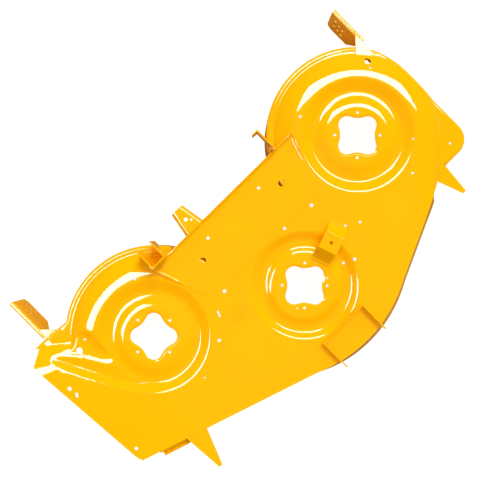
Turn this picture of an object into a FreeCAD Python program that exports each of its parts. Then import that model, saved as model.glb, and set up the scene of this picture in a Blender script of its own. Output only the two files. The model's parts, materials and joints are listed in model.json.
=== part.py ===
import FreeCAD, Part
import math
import os
import Sketcher

# Welded steel deck of a side-discharge lawn mower, in millimetres.
# +X is the discharge side, +Y is forward and +Z is up.
# The origin is the centre spindle's axis, on the top of its seat.

doc = FreeCAD.newDocument("mower_deck")
V = FreeCAD.Vector
UP = V(0, 0, 1)

SIZES = [
    ("sheet", 2.7), ("rim_z", -125), ("main_z", 6),
    ("spindle_x", 416), ("spindle_y", -203),
    ("seat_r", 80), ("groove_in_r", 125), ("groove_out_r", 129), ("groove_z", -10),
    ("rise_r", 168), ("ledge_width", 21), ("ledge_z", -22), ("shoulder_r", 9),
    ("centre_seat_r", 90), ("centre_groove_in_r", 118), ("centre_rise_r", 160),
    ("lobe_r", 265), ("notch_r", 240),
    ("opening_lobe_r", 25), ("opening_lobe_at", 43), ("opening_waist_r", 50),
    ("spindle_bolt_circle", 130.7), ("spindle_bolt_r", 4.1),
    ("discharge_x", 728), ("discharge_y", -383), ("discharge_slant", 35),
    ("front_corner_x", 695), ("front_corner_y", 34), ("front_corner_r", 21),
    ("nose_right_x", 148), ("nose_right_y", 206),
    ("nose_x", -30), ("nose_y", 239), ("nose_left_x", -217), ("nose_left_y", 187),
    ("shoulder_left_x", -493), ("shoulder_left_y", 58), ("panel_x", -655), ("panel_y", 44),
    ("panel_corner_r", 55), ("panel_in_x", -545), ("side_low_y", -258), ("flank_bulge", 17),
    ("rear_right_x", 652), ("rear_right_y", -421), ("chute_slope", 17),
    ("skirt_gap", 4), ("skirt_flare", 46), ("skirt_flare_right", 34), ("skirt_flare_end", 6),
    ("rear_flange_h", 22), ("baffle_r", 226), ("baffle_z", -95),
    ("bridge_rear_y", -340), ("bridge_front_y", -164.3), ("bridge_rear_x", 279),
    ("bridge_front_x", 218), ("bridge_lip", 13), ("bridge_lip_y", -243),
    ("bridge_seat_inset", 9), ("bridge_hole_r", 10), ("bridge_hole_x", 160),
    ("bridge_hole_y", -258.6), ("bridge_small_r", 5), ("bridge_small_x", 103),
    ("bridge_small_y", -295),
    ("lift_x", 80), ("lift_back_y", 151), ("lift_front_y", 248), ("lift_thick", 4),
    ("lift_top_z", 26), ("lift_pin_r", 5),
    ("hat_x", -137), ("hat_y", -39), ("hat_turn", 18.6), ("hat_length", 124), ("hat_top", 50),
    ("hat_width", 56.5), ("hat_high", 40), ("hat_thick", 3), ("hat_foot", 8), ("hat_hole_r", 5),
    ("tab_x", 189), ("tab_y", -83), ("tab_turn", 10), ("tab_length", 36), ("tab_width", 28),
    ("tab_thick", 3), ("tab_high", 12), ("tab_hole_r", 4), ("tab_hole_gap", 22),
    ("channel_x", 223), ("channel_width", 50), ("channel_end_y", -402), ("channel_top_z", 58),
    ("channel_thick", 4), ("channel_pin_r", 6),
    ("hook_x", -214), ("hook_end_y", -415), ("hook_bend", 20), ("hook_thick", 4),
    ("hook_top_z", 40), ("hook_low_z", -5),
    ("taper_x", 111), ("taper_base", 67), ("taper_end", 40), ("taper_end_y", -416),
    ("taper_flange", 16), ("taper_thick", 3), ("taper_hole_r", 6), ("taper_hole_y", -378),
    ("taper_small_r", 3.5), ("taper_small_x", 100), ("taper_small_y", -367),
    ("gauge_thick", 4), ("gauge_depth", 104), ("gauge_lip", 8), ("gauge_right_in", 37),
    ("gauge_right_length", 140), ("gauge_right_lap", 42), ("gauge_left_in", 61),
    ("gauge_left_length", 124), ("gauge_left_lap", 80), ("gauge_hole_r", 5),
    ("arm_tip", 11), ("arm_thick", 4), ("arm_root", 30),
    ("arm_right_in_x", 494), ("arm_right_in_y", 97), ("arm_right_out_x", 555),
    ("arm_right_out_y", 78), ("arm_right_tip_x", 540), ("arm_right_tip_y", 201),
    ("arm_left_in_x", -493), ("arm_left_in_y", 54), ("arm_left_out_x", -543),
    ("arm_left_out_y", 46), ("arm_left_tip_x", -530), ("arm_left_tip_y", 138),
    ("corner_x", 600), ("corner_y", 63.6), ("corner_z", -34), ("corner_length", 84),
    ("corner_out", 24), ("corner_high", 30), ("corner_thick", 3), ("corner_turn", -17.5),
]


def make_sheet():
    """The driving sizes, one row each: name, value, alias."""
    table = doc.addObject("Spreadsheet::Sheet", "Sizes")
    for row, (name, value) in enumerate(SIZES, 1):
        table.set("A%d" % row, name)
        table.set("B%d" % row, str(value))
        table.setAlias("B%d" % row, name)
    doc.recompute()
    return table


sheet = make_sheet()


def size(name):
    return float(sheet.get(name))


def polar(centre, radius, degrees):
    turn = math.radians(degrees)
    return V(centre.x + radius * math.cos(turn), centre.y + radius * math.sin(turn), 0)


def line(start, end):
    return Part.makeLine(start, end)


def arc(start, middle, end):
    return Part.Arc(start, middle, end).toShape()


def face_of(edges):
    return Part.Face(Part.Wire(Part.__sortEdges__(edges)))


def prism(edges, low, high):
    """A plan outline drawn at z = 0, extruded from low to high."""
    solid = face_of(edges).extrude(V(0, 0, high - low))
    solid.translate(V(0, 0, low))
    return solid


def polygon(points):
    ring = list(points) + [points[0]]
    return Part.Wire([line(a, b) for a, b in zip(ring, ring[1:])]).Edges


def inset_corner(before, corner, after, distance):
    """The corner of an outline moved to its left by distance, with mitred sides."""
    first = (corner - before).normalize()
    second = (after - corner).normalize()
    left_one = V(-first.y, first.x, 0)
    left_two = V(-second.y, second.x, 0)
    mitre = (left_one + left_two).normalize()
    return corner + mitre * (distance / mitre.dot(left_one))


SPINDLES = {
    "left": V(-size("spindle_x"), size("spindle_y"), 0),
    "centre": V(0, 0, 0),
    "right": V(size("spindle_x"), size("spindle_y"), 0),
}
TALL = 60.0
BEYOND = 40.0


def circle_crossing(centre_a, radius_a, centre_b, radius_b, side):
    """Where two circles cross, on the side of their centre line that side points to."""
    across = centre_b - centre_a
    apart = across.Length
    along = (apart ** 2 + radius_a ** 2 - radius_b ** 2) / (2 * apart)
    offset = math.sqrt(radius_a ** 2 - along ** 2)
    direction = across * (1 / apart)
    normal = V(-direction.y, direction.x, 0)
    if normal.dot(side) < 0:
        normal = normal * -1
    return centre_a + direction * along + normal * offset


def angle_at(centre, point):
    return math.degrees(math.atan2(point.y - centre.y, point.x - centre.x))


def arc_about(centre, radius, start_degrees, end_degrees):
    middle = (start_degrees + end_degrees) / 2
    return arc(polar(centre, radius, start_degrees), polar(centre, radius, middle),
               polar(centre, radius, end_degrees))


# Directions about a spindle, in degrees from +X, where a stretch of the outline ends.
LOBE_START, LOBE_END = -125, -53
FRONT_TURN = 72


def flank_points(inset):
    """Start, middle and end of the left flank, between the straight side and the lobe."""
    low = V(size("panel_x") + inset, size("side_low_y"), 0)
    end = polar(SPINDLES["left"], size("lobe_r") - inset, LOBE_START)
    out = size("flank_bulge")
    return low, (low + end) * 0.5 + V(-out, -out, 0), end


def deck_outline(inset, front_gap, side_gap, rear_inset):
    """The deck's plan outline, counter-clockwise from the rear right corner.

    The walled stretches move in by inset, the front and discharge edges move out
    by front_gap and side_gap, and the short rear right edge moves in by rear_inset.
    """
    left, centre, right = SPINDLES["left"], SPINDLES["centre"], SPINDLES["right"]
    lobe = size("lobe_r") - inset
    notch = size("notch_r") - inset
    rear = V(0, -1, 0)
    meet_left = circle_crossing(left, lobe, centre, notch, rear)
    meet_right = circle_crossing(right, lobe, centre, notch, rear)
    lobe_end = polar(right, lobe, LOBE_END)
    rear_edge = size("rear_right_y") + rear_inset
    corner_a = V(size("rear_right_x"), rear_edge, 0)
    corner_b = V(size("discharge_x") - size("discharge_slant") - rear_inset, rear_edge, 0)
    discharge = V(size("discharge_x") + side_gap, size("discharge_y"), 0)
    turn_r = size("front_corner_r")
    turn = V(size("front_corner_x") - turn_r + side_gap,
             size("front_corner_y") - turn_r + front_gap, 0)
    nose_right = V(size("nose_right_x"), size("nose_right_y") + front_gap, 0)
    nose = V(size("nose_x"), size("nose_y") + front_gap, 0)
    nose_left = V(size("nose_left_x"), size("nose_left_y") + front_gap, 0)
    shoulder = V(size("shoulder_left_x"), size("shoulder_left_y") + front_gap, 0)
    panel_x = size("panel_x") + inset
    panel_y = size("panel_y") - inset
    panel_start = V(size("panel_in_x"), panel_y, 0)
    radius = size("panel_corner_r") - inset
    corner = V(panel_x + radius, panel_y - radius, 0)
    side_low, flank, lobe_start = flank_points(inset)
    return [
        line(corner_b, discharge), line(discharge, polar(turn, turn_r, 0)),
        arc_about(turn, turn_r, 0, FRONT_TURN), line(polar(turn, turn_r, FRONT_TURN), nose_right),
        arc(nose_right, nose, nose_left), line(nose_left, shoulder),
        line(shoulder, panel_start), line(panel_start, polar(corner, radius, 90)),
        arc_about(corner, radius, 90, 180), line(polar(corner, radius, 180), side_low),
        arc(side_low, flank, lobe_start),
        arc_about(left, lobe, LOBE_START, angle_at(left, meet_left)),
        arc_about(centre, notch, angle_at(centre, meet_left), angle_at(centre, meet_right)),
        arc_about(right, lobe, angle_at(right, meet_right) - 360, LOBE_END),
        line(lobe_end, corner_a), line(corner_a, corner_b),
    ]


def bend(start, end, lead_in, lead_out):
    """A smooth profile curve that leaves and arrives level; leads are shares of its width."""
    width = end.x - start.x
    curve = Part.BezierCurve()
    curve.setPoles([start, start + V(width * lead_in, 0, 0), end - V(width * lead_out, 0, 0), end])
    return curve.toShape()


def ring_tool(centre, seat, groove_in, rise, drop):
    """What a spindle seat and its groove take out of the top, lowered by drop."""
    low = size("groove_z") - drop
    spots = [V(centre.x + r, centre.y, z) for r, z in (
        (0, TALL), (0, -drop), (seat, -drop), (groove_in, low), (size("groove_out_r"), low),
        (rise, size("main_z") - drop), (rise, TALL))]
    edges = [line(spots[0], spots[1]), line(spots[1], spots[2]),
             bend(spots[2], spots[3], 0.45, 0.35), line(spots[3], spots[4]),
             bend(spots[4], spots[5], 0.25, 0.25), line(spots[5], spots[6]),
             line(spots[6], spots[0])]
    return face_of(edges).revolve(centre, UP, 360)


def crown_face(centre, drop, shoulder):
    """Half the section that the crown takes away, with or without the rounded shoulder."""
    top, low = size("main_z") - drop, size("ledge_z") - drop
    far = centre.x + 2 * size("lobe_r")
    crest = V(centre.x + size("rise_r"), centre.y, top)
    foot = V(centre.x + size("lobe_r") - size("ledge_width"), centre.y, low)
    width = foot.x - crest.x
    fall = Part.BezierCurve()
    fall.setPoles([crest, crest + V(width * 0.45, 0, 0), foot + V(-width * 0.2, 0, width * 0.16), foot])
    edges = [fall.toShape()]
    edge_low = low
    last = foot
    if shoulder:
        radius = size("shoulder_r") - drop
        turn = V(centre.x + size("lobe_r") - drop - radius, centre.y, low - radius)
        first, last = turn + V(0, 0, radius), turn + V(radius, 0, 0)
        slant = radius * math.sqrt(0.5)
        edges += [line(foot, first), arc(first, turn + V(slant, 0, slant), last)]
        edge_low = last.z
    corners = [last, V(far, centre.y, edge_low), V(far, centre.y, TALL),
               V(crest.x, centre.y, TALL), crest]
    edges += [line(a, b) for a, b in zip(corners, corners[1:])]
    return face_of(edges)


def crown_tool(centre, start, end, drop, shoulder):
    """The crown that falls from a seat's rim to the ledge, between two directions."""
    face = crown_face(centre, drop, shoulder)
    face.rotate(centre, UP, start)
    return face.revolve(centre, UP, end - start)


def crown_run(centre, degrees, drop, length):
    """The same crown carried straight on, forward from the end of its arc."""
    face = crown_face(centre, drop, False)
    face.rotate(centre, UP, degrees)
    heading = math.radians(degrees - 90)
    return face.extrude(V(math.cos(heading) * length, math.sin(heading) * length, 0))


def shoulder_face(at_wall, outward, drop):
    """The section that rounds a shoulder off, beside a point at the top of the wall's face."""
    radius = size("shoulder_r") - drop
    low = size("ledge_z") - drop
    first = at_wall - outward * radius + V(0, 0, low)
    last = at_wall + V(0, 0, low - radius)
    slant = radius * math.sqrt(0.5)
    middle = at_wall - outward * (radius - slant) + V(0, 0, low - radius + slant)
    corner = at_wall + outward * BEYOND
    return face_of([arc(first, middle, last), line(last, corner + V(0, 0, low - radius)),
                    line(corner + V(0, 0, low - radius), corner + V(0, 0, low)),
                    line(corner + V(0, 0, low), first)])


def shoulder_tools(drop):
    """What rounds the shoulder of the low left panel: its front, corner, side and flank."""
    inset = drop
    radius = size("panel_corner_r")
    turn = V(size("panel_x") + radius, size("panel_y") - radius, 0)
    left, front = V(-1, 0, 0), V(0, 1, 0)
    wall_left = V(size("panel_x") + inset, turn.y, 0)
    wall_front = V(turn.x, size("panel_y") - inset, 0)
    low, middle, end = flank_points(inset)
    hub = arc(low, middle, end).Curve.Center
    side = shoulder_face(wall_left, left, drop).extrude(V(0, low.y - turn.y, 0))
    ahead = shoulder_face(wall_front, front, drop).extrude(V(size("panel_in_x") - turn.x + BEYOND, 0, 0))
    corner = shoulder_face(wall_front, front, drop).revolve(turn, UP, 90)
    start_turn, end_turn = angle_at(hub, low), angle_at(hub, end)
    outward = (low - hub).normalize()
    swept = shoulder_face(low, outward, drop).revolve(hub, UP, (end_turn - start_turn) % 360)
    return [side, ahead, corner, swept]


def seat_block(inset):
    """The raised seat that carries the rear bridge plate over the crowns."""
    margin = size("bridge_seat_inset") + inset
    rear = size("bridge_rear_y") + margin
    front = 0.0
    rear_x = size("bridge_rear_x") - margin
    front_x = size("bridge_front_x") - margin
    points = [V(-rear_x, rear, 0), V(rear_x, rear, 0), V(front_x, size("bridge_front_y"), 0),
              V(front_x, front, 0), V(-front_x, front, 0), V(-front_x, size("bridge_front_y"), 0)]
    return prism(polygon(points), -TALL, 2 * TALL)


LINE_A = [(471, -61), (512, -80), (565, -122), (591, -154), (630, -216), (671, -285), (698, -341),
          (735, -397)]


def chute_tool(drop):
    """The channel that unwinds from the right groove to the discharge edge."""
    right = SPINDLES["right"]
    top = size("main_z") - drop
    low = size("groove_z") - drop
    inner = [polar(right, size("groove_out_r") - 4, a) for a in (-25, 0, 30, 70)]
    outer = [V(x, y, 0) for x, y in LINE_A]
    past = size("discharge_x") + BEYOND
    rear = size("rear_right_y")
    ends = [V(past, rear, 0), V(past, rear - 2 * BEYOND, 0),
            V(right.x + size("lobe_r") * math.cos(math.radians(LOBE_END)), rear - 2 * BEYOND, 0)]
    foot = []
    for before, here, after in zip([inner[-1]] + outer[:-1], outer, outer[1:] + [ends[0]]):
        foot.append(inset_corner(before, here, after, -size("chute_slope")))
    upper = inner + outer + ends
    lower = inner + foot + ends
    wires = []
    for points, z in ((lower, low), (upper, top), (upper, TALL)):
        ring = [V(p.x, p.y, z) for p in points]
        wires.append(Part.Wire(polygon(ring)))
    return Part.makeLoft(wires, True, True)


# Directions about a spindle between which its crown is drawn.
LEFT_CROWN, RIGHT_CROWN = (140, 345), (195, 335)


def crown_parts(drop, seat_inset):
    left, right = SPINDLES["left"], SPINDLES["right"]
    seat = seat_block(seat_inset)
    start, end = LEFT_CROWN
    run = size("panel_y") - left.y + size("lobe_r")
    parts = [crown_tool(left, start, 360 + LOBE_START, drop, False),
             crown_tool(left, 360 + LOBE_START, end, drop, True),
             crown_run(left, start, drop, run),
             crown_tool(right, RIGHT_CROWN[0], 360 + LOBE_END, drop, True),
             crown_tool(right, 360 + LOBE_END, RIGHT_CROWN[1], drop, False)]
    return [part.cut(seat) for part in parts]


def relief(drop, seat_inset):
    """Every volume that the stamping takes out of the top, lowered by drop."""
    outer = (size("seat_r"), size("groove_in_r"), size("rise_r"), drop)
    inner = (size("centre_seat_r"), size("centre_groove_in_r"), size("centre_rise_r"), drop)
    tools = [ring_tool(SPINDLES["left"], *outer), ring_tool(SPINDLES["right"], *outer),
             ring_tool(SPINDLES["centre"], *inner)]
    return tools + crown_parts(drop, seat_inset) + shoulder_tools(drop) + [chute_tool(drop)]


def keep_form(name, shape):
    form = doc.addObject("Part::Feature", name)
    form.Shape = shape
    return form


def build_forms():
    """The deck's outer form, and the hollow under its sheet."""
    thick = size("sheet")
    top = size("main_z")
    outer = prism(deck_outline(0, 0, 0, 0), size("rim_z"), top)
    for tool in relief(0, 0):
        outer = outer.cut(tool)
    hollow = prism(deck_outline(thick, BEYOND, BEYOND, thick), size("rim_z") - 1, top - thick)
    low_part = prism(deck_outline(thick, BEYOND, BEYOND, -BEYOND), size("rim_z") - 1,
                     -size("rear_flange_h") + size("groove_z"))
    for tool in relief(thick, thick):
        hollow = hollow.cut(tool)
    hollow = hollow.fuse(low_part)
    return keep_form("outer_form", outer), keep_form("hollow_form", hollow)


outer_form, hollow_form = build_forms()


def spindle_opening(centre, turn):
    """The four-lobed hole in a spindle seat: lobes joined by tangent hollow arcs."""
    lobe = size("opening_lobe_r")
    far = size("opening_lobe_at")
    waist = size("opening_waist_r")
    root = math.sqrt(2)
    hollow = (lobe ** 2 - waist ** 2 + waist * root * far - far ** 2) / (2 * waist - root * far - 2 * lobe)
    edges = []
    for lobe_number in range(4):
        base = turn + 90 * lobe_number
        here = polar(centre, far, base)
        ahead = polar(centre, waist + hollow, base + 45)
        behind = polar(centre, waist + hollow, base - 45)
        touch_ahead = here + (ahead - here).normalize() * lobe
        touch_behind = here + (behind - here).normalize() * lobe
        following = polar(centre, far, base + 90)
        touch_next = following + (ahead - following).normalize() * lobe
        edges.append(arc(touch_behind, polar(centre, far + lobe, base), touch_ahead))
        edges.append(arc(touch_ahead, polar(centre, waist, base + 45), touch_next))
    return prism(edges, -TALL, TALL)


def round_hole(x, y, radius, low=-TALL, high=TALL):
    return Part.makeCylinder(radius, high - low, V(x, y, low))


def slot_hole(x, y, length, width, degrees):
    box = Part.makeBox(length, width, 2 * TALL, V(-length / 2, -width / 2, -TALL))
    box.rotate(V(0, 0, 0), UP, degrees)
    box.translate(V(x, y, 0))
    return box


PLAIN_HOLES = [
    (-243, -19, 4), (-205, -41, 4), (-156, 47, 5.5), (-127, 34, 4), (288, -61, 5), (394, -14, 3),
    (-522, -83, 3), (-451, -13, 4), (-596, -162, 3.5), (-599, 6, 4), (-385, -386, 4),
    (-334, -358, 4.5), (-589, -336, 10), (-580, -316, 4), (603, -325, 10), (602, -303, 4),
    (389, -387, 4), (441, -392, 4), (568, -338, 4), (679, -7, 5.5), (-177, -152, 5.5), (177, -152, 5.5),
    (-74, -159, 4.7), (-62, 32, 2.5), (62, 32, 2.5),
]
SQUARE_HOLES = [(336, -363, 12, 12, 35), (695, -266, 11, 11, 5), (693, -238, 14, 9, 60),
                (235, -117, 20, 5, 70)]


def shell_holes():
    cuts = [spindle_opening(SPINDLES["left"], 0), spindle_opening(SPINDLES["centre"], 0),
            spindle_opening(SPINDLES["right"], 45)]
    for name, start in (("left", 45), ("centre", 45), ("right", 0)):
        for number in range(4):
            spot = polar(SPINDLES[name], size("spindle_bolt_circle") / 2, start + 90 * number)
            cuts.append(round_hole(spot.x, spot.y, size("spindle_bolt_r")))
    for x, y, radius in PLAIN_HOLES:
        cuts.append(round_hole(x, y, radius))
    for hole in SQUARE_HOLES:
        cuts.append(slot_hole(*hole))
    return keep_form("hole_tools", Part.makeCompound(cuts))


def cut_of(name, base, tool, label=None):
    result = doc.addObject("Part::Cut", name)
    result.Base = base
    result.Tool = tool
    if label:
        result.Label = label
    return result


def common_of(name, base, tool, label=None):
    result = doc.addObject("Part::Common", name)
    result.Base = base
    result.Tool = tool
    if label:
        result.Label = label
    return result


SKIRT_FLARES = ("skirt_flare_end", "skirt_flare", "skirt_flare", "skirt_flare",
                "skirt_flare_right", "skirt_flare_end")


def skirt_path():
    shoulder = V(size("shoulder_left_x"), size("shoulder_left_y"), 0)
    nose_left = V(size("nose_left_x"), size("nose_left_y"), 0)
    flare_start = shoulder + (nose_left - shoulder) * 0.15
    return [V(size("panel_in_x") + 4, size("panel_y") + 1, 0), shoulder, flare_start, nose_left,
            V(size("nose_x"), size("nose_y"), 0), V(size("nose_right_x"), size("nose_right_y"), 0),
            V(size("front_corner_x") - 2, size("front_corner_y"), 0)]


def moved_path(points, distances):
    """An open path, left to right, with each point moved forward by its own distance."""
    moved = []
    last = len(points) - 1
    for number, here in enumerate(points):
        before = points[max(number - 1, 0)]
        after = points[min(number + 1, last)]
        along = (after - before).normalize()
        moved.append(here + V(-along.y, along.x, 0) * distances[number])
    return moved


def path_edges(points, nose_at):
    """Lines between the points, with one arc through the nose point."""
    edges = []
    number = 0
    while number < len(points) - 1:
        if number == nose_at - 1:
            edges.append(arc(points[number], points[number + 1], points[number + 2]))
            number += 2
        else:
            edges.append(line(points[number], points[number + 1]))
            number += 1
    return edges


def strip_wire(front, back, z, nose_at):
    """A closed loop between a front path and a back path, at one height."""
    edges = path_edges(front, nose_at)
    edges.append(line(front[-1], back[-1]))
    edges += path_edges(list(reversed(back)), len(back) - 1 - nose_at)
    edges.append(line(back[0], front[0]))
    wire = Part.Wire(edges)
    wire.translate(V(0, 0, z))
    return wire


def skirt_solid(depth):
    """The flared front wall, or with a great depth the whole space behind its face."""
    path = skirt_path()
    gap = size("skirt_gap")
    flares = [0] + [size(name) for name in SKIRT_FLARES]
    count = len(path)
    nose_at = 4
    loops = []
    for z, shifts in ((size("main_z"), [-gap] * count), (size("rim_z"), flares)):
        front = moved_path(path, shifts)
        back = moved_path(path, [shift - depth for shift in shifts])
        loops.append(strip_wire(front, back, z, nose_at))
    return Part.makeLoft(loops, True, True)


def baffle_solid():
    """The scalloped strip that follows the three blades along their front."""
    radius = size("baffle_r")
    runs = (("left", 125, 62), ("centre", 172, 8), ("right", 118, 72))
    front, back = [], []
    for grow, edges in ((size("sheet"), front), (0, back)):
        end = None
        for name, start, stop in runs:
            centre = SPINDLES[name]
            first = polar(centre, radius + grow, start)
            if end:
                edges.append(line(end, first))
            edges.append(arc_about(centre, radius + grow, start, stop))
            end = polar(centre, radius + grow, stop)
    caps = [line(polar(SPINDLES["left"], radius, 125), polar(SPINDLES["left"], radius + size("sheet"), 125)),
            line(polar(SPINDLES["right"], radius, 72), polar(SPINDLES["right"], radius + size("sheet"), 72))]
    return prism(front + back + caps, size("baffle_z"), size("main_z"))


def amount(text):
    """The value of a sum such as '- lift_x + lift_thick/2' of sizes and numbers."""
    total = 0.0
    sign = 1
    for word in text.split():
        if word in ("+", "-"):
            sign = 1 if word == "+" else -1
            continue
        name, _, divisor = word.partition("/")
        number = float(name) if name[0].isdigit() else size(name)
        total += sign * number / float(divisor or 1)
        sign = 1
    return total


def formula(text):
    """The same sum as an expression on the sheet."""
    words = []
    for word in text.split():
        plain = word in ("+", "-") or word[0].isdigit()
        words.append(word if plain else "Sizes." + word)
    return " ".join(words)


def plane_of(body, role):
    return next(item for item in body.Origin.OriginFeatures if item.Role == role)


def new_sketch(body, role, name, offset):
    sketch = body.newObject("Sketcher::SketchObject", name)
    sketch.AttachmentSupport = [(plane_of(body, role), "")]
    sketch.MapMode = "FlatFace"
    sketch.setExpression("AttachmentOffset.Base.z", formula(offset))
    return sketch


def bind_point(sketch, geometry, point, where):
    """Tie one point of a sketch to a pair of sums of sizes."""
    for kind, text in zip(("DistanceX", "DistanceY"), where):
        number = sketch.addConstraint(
            Sketcher.Constraint(kind, -1, 1, geometry, point, amount(text)))
        sketch.setExpression("Constraints[%d]" % number, formula(text))


def draw_polygon(sketch, points):
    spots = [V(amount(x), amount(y), 0) for x, y in points]
    count = len(spots)
    for number in range(count):
        sketch.addGeometry(Part.LineSegment(spots[number], spots[(number + 1) % count]))
    for number in range(count):
        sketch.addConstraint(
            Sketcher.Constraint("Coincident", number, 2, (number + 1) % count, 1))
    for number, where in enumerate(points):
        bind_point(sketch, number, 1, where)


def draw_circles(sketch, circles):
    for number, (x, y, radius) in enumerate(circles):
        centre = V(amount(x), amount(y), 0)
        sketch.addGeometry(Part.Circle(centre, UP, amount(radius)))
        bind_point(sketch, number, 3, (x, y))
        bound = sketch.addConstraint(Sketcher.Constraint("Radius", number, amount(radius)))
        sketch.setExpression("Constraints[%d]" % bound, formula(radius))


def add_step(body, kind, name, role, offset, length, draw, shapes):
    """One pad or pocket of a body, from a sketch that lies offset along its plane's normal."""
    sketch = new_sketch(body, role, name + "_sketch", offset)
    draw(sketch, shapes)
    step = body.newObject("PartDesign::" + kind, name)
    step.Profile = sketch
    step.setExpression("Length", formula(length))
    doc.recompute()
    return step


def new_body(name):
    return doc.addObject("PartDesign::Body", name)


def place_body(body, x, y, z, turn="0"):
    """Stand a body at a spot on the deck, turned about the vertical."""
    body.Placement = FreeCAD.Placement(V(amount(x), amount(y), amount(z)),
                                       FreeCAD.Rotation(UP, amount(turn)))
    for axis, text in (("x", x), ("y", y), ("z", z)):
        body.setExpression("Placement.Base." + axis, formula(text))


def build_bridge():
    """The flat rear sheet with its upturned lips, and the holes in it."""
    body = new_body("bridge_body")
    add_step(body, "Pad", "bridge_flat", "XY_Plane", "main_z", "sheet", draw_polygon,
             [("- bridge_rear_x", "bridge_rear_y"), ("bridge_rear_x", "bridge_rear_y"),
              ("bridge_front_x", "bridge_front_y"), ("- bridge_front_x", "bridge_front_y")])
    add_step(body, "Pad", "bridge_rear_lip", "XZ_Plane", "- bridge_rear_y - sheet", "sheet",
             draw_polygon,
             [("- bridge_rear_x + 6", "main_z"), ("bridge_rear_x - 6", "main_z"),
              ("bridge_rear_x - 6", "main_z + bridge_lip"),
              ("- bridge_rear_x + 6", "main_z + bridge_lip")])
    add_step(body, "Pocket", "bridge_holes", "XY_Plane", "main_z + 5", "10", draw_circles,
             [("bridge_hole_x", "bridge_hole_y", "bridge_hole_r"),
              ("- bridge_hole_x", "bridge_hole_y", "bridge_hole_r"),
              ("bridge_small_x", "bridge_small_y", "bridge_small_r"),
              ("- bridge_small_x", "bridge_small_y", "bridge_small_r")])
    lips = []
    for side in (-1, 1):
        low = V(side * size("bridge_rear_x"), size("bridge_rear_y"), size("main_z"))
        far = V(side * size("bridge_front_x"), size("bridge_front_y"), size("main_z"))
        run = (far - low).normalize()
        length = (size("bridge_lip_y") - size("bridge_rear_y")) / run.y
        inward = V(-run.y * side, run.x * side, 0) * size("sheet")
        start = low + run * 8
        corners = [start, low + run * length, low + run * length + V(0, 0, size("sheet")),
                   start + V(0, 0, size("bridge_lip"))]
        lips.append(face_of(polygon(corners)).extrude(inward))
    flank_lips = keep_form("bridge_flank_lips", Part.makeCompound(lips))
    whole = doc.addObject("Part::MultiFuse", "bridge_whole")
    whole.Shapes = [body, flank_lips]
    whole.Label = "rear_bridge_plate"
    return whole


def build_lift():
    """The U of flat bar on the nose, with a pin hole through both arms."""
    body = new_body("lift_body")
    add_step(body, "Pad", "lift_bar", "XY_Plane", "main_z", "lift_top_z - main_z", draw_polygon,
             [("- lift_x", "lift_back_y"), ("lift_x", "lift_back_y"), ("lift_x", "lift_front_y"),
              ("lift_x - lift_thick", "lift_front_y"),
              ("lift_x - lift_thick", "lift_back_y + lift_thick"),
              ("- lift_x + lift_thick", "lift_back_y + lift_thick"),
              ("- lift_x + lift_thick", "lift_front_y"), ("- lift_x", "lift_front_y")])
    add_step(body, "Pocket", "lift_pin_hole", "YZ_Plane", "lift_x + 1", "lift_x + lift_x + 2",
             draw_circles, [("lift_front_y - 13", "main_z/2 + lift_top_z/2", "lift_pin_r")])
    body.Label = "front_lift_bracket"
    return body


def build_hat():
    """The hat-shaped bridge: one foot on the main plate, the other on the centre seat."""
    body = new_body("hat_body")
    add_step(body, "Pad", "hat_strip", "XZ_Plane", "- hat_width/2", "hat_width", draw_polygon,
             [("- hat_length/2", "0"), ("- hat_length/2 + hat_foot", "0"),
              ("- hat_top/2 + hat_thick/2", "hat_high - hat_thick"),
              ("hat_top/2 - hat_thick/2", "hat_high - hat_thick"),
              ("hat_length/2 - hat_foot", "- main_z"), ("hat_length/2", "- main_z"),
              ("hat_length/2", "- main_z + hat_thick"),
              ("hat_length/2 - hat_foot + hat_thick/2", "- main_z + hat_thick"),
              ("hat_top/2", "hat_high"), ("- hat_top/2", "hat_high"),
              ("- hat_length/2 + hat_foot - hat_thick/2", "hat_thick"),
              ("- hat_length/2", "hat_thick")])
    add_step(body, "Pocket", "hat_hole", "XY_Plane", "hat_high + 1", "hat_thick + 2",
             draw_circles, [("0", "0", "hat_hole_r")])
    place_body(body, "hat_x", "hat_y", "main_z", "hat_turn")
    body.Label = "idler_bridge_bracket"
    return body


def build_tab():
    """The small bent tab with two holes."""
    body = new_body("tab_body")
    add_step(body, "Pad", "tab_bend", "YZ_Plane", "- tab_length/2", "tab_length", draw_polygon,
             [("- tab_width/2", "0"), ("tab_width/2", "0"), ("tab_width/2", "tab_high"),
              ("tab_width/2 - tab_thick", "tab_high"), ("tab_width/2 - tab_thick", "tab_thick"),
              ("- tab_width/2", "tab_thick")])
    add_step(body, "Pocket", "tab_holes", "XY_Plane", "tab_thick + 1", "tab_thick + 2",
             draw_circles, [("tab_hole_gap/2", "0", "tab_hole_r"),
                            ("- tab_hole_gap/2", "0", "tab_hole_r")])
    place_body(body, "tab_x", "tab_y", "main_z", "tab_turn")
    body.Label = "idler_tab"
    return body


def build_channel():
    """The upright channel on the right rear corner, seated on the lobe's crown."""
    body = new_body("channel_body")
    add_step(body, "Pad", "channel_walls", "XY_Plane", "ledge_z - 20", "channel_top_z - ledge_z + 20",
             draw_polygon,
             [("channel_x", "bridge_rear_y"), ("channel_x", "channel_end_y"),
              ("channel_x + channel_thick", "channel_end_y"),
              ("channel_x + channel_thick", "bridge_rear_y - channel_thick"),
              ("channel_x + channel_width - channel_thick", "bridge_rear_y - channel_thick"),
              ("channel_x + channel_width - channel_thick", "channel_end_y"),
              ("channel_x + channel_width", "channel_end_y"),
              ("channel_x + channel_width", "bridge_rear_y")])
    add_step(body, "Pocket", "channel_pin_hole", "YZ_Plane", "channel_x + channel_width + 1",
             "channel_width + 2", draw_circles,
             [("channel_end_y + 18", "channel_top_z - 18", "channel_pin_r")])
    return cut_of("channel_seated", body, outer_form, "rear_channel_bracket")


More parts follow.
